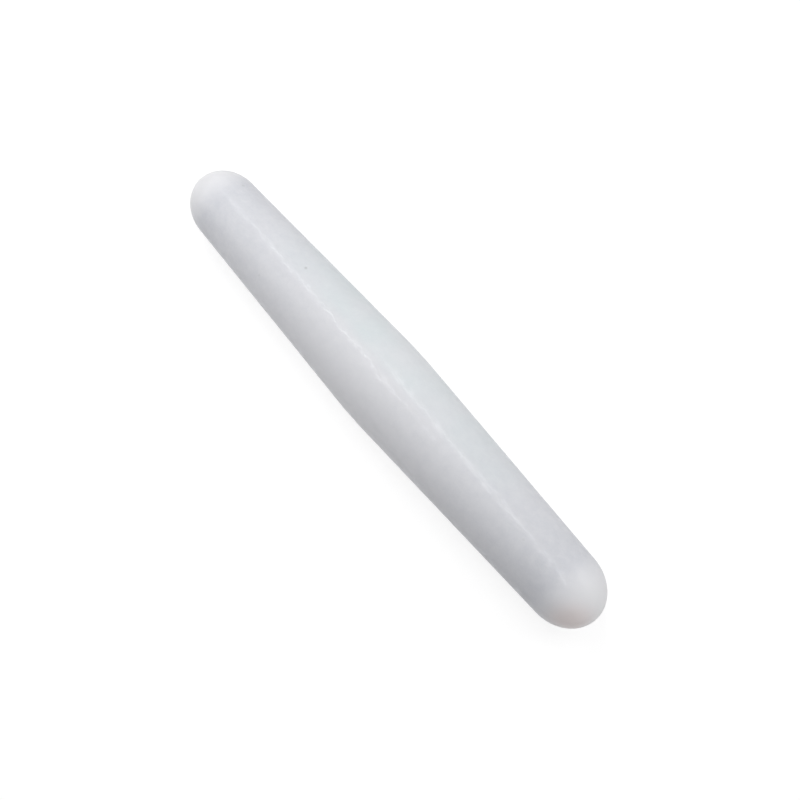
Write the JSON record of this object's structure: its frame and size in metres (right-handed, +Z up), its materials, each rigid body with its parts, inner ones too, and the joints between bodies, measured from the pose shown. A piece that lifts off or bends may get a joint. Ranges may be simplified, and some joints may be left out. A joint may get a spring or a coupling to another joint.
{
  "type": "magnetic stir bar",
  "caption": "Double tapered PTFE stir bar with a sealed rod magnet, for stirring liquid in a lab vessel on a magnetic stirrer.",
  "frame": {"origin": "lowest point of the belly, halfway along the bar, where it touches the vessel's floor", "axes": "+X along the bar's axis, +Z up"},
  "size_m": [0.06, 0.009, 0.009],
  "materials": {
    "ptfe": "white PTFE, satin from moulding, slightly waxy and a little translucent",
    "magnet": "ground cast AlNiCo, dull grey metal, sealed inside the jacket"
  },
  "bodies": {
    "root": {"ptfe_jacket": "ptfe", "bar_magnet": "magnet"}
  },
  "joints": []
}
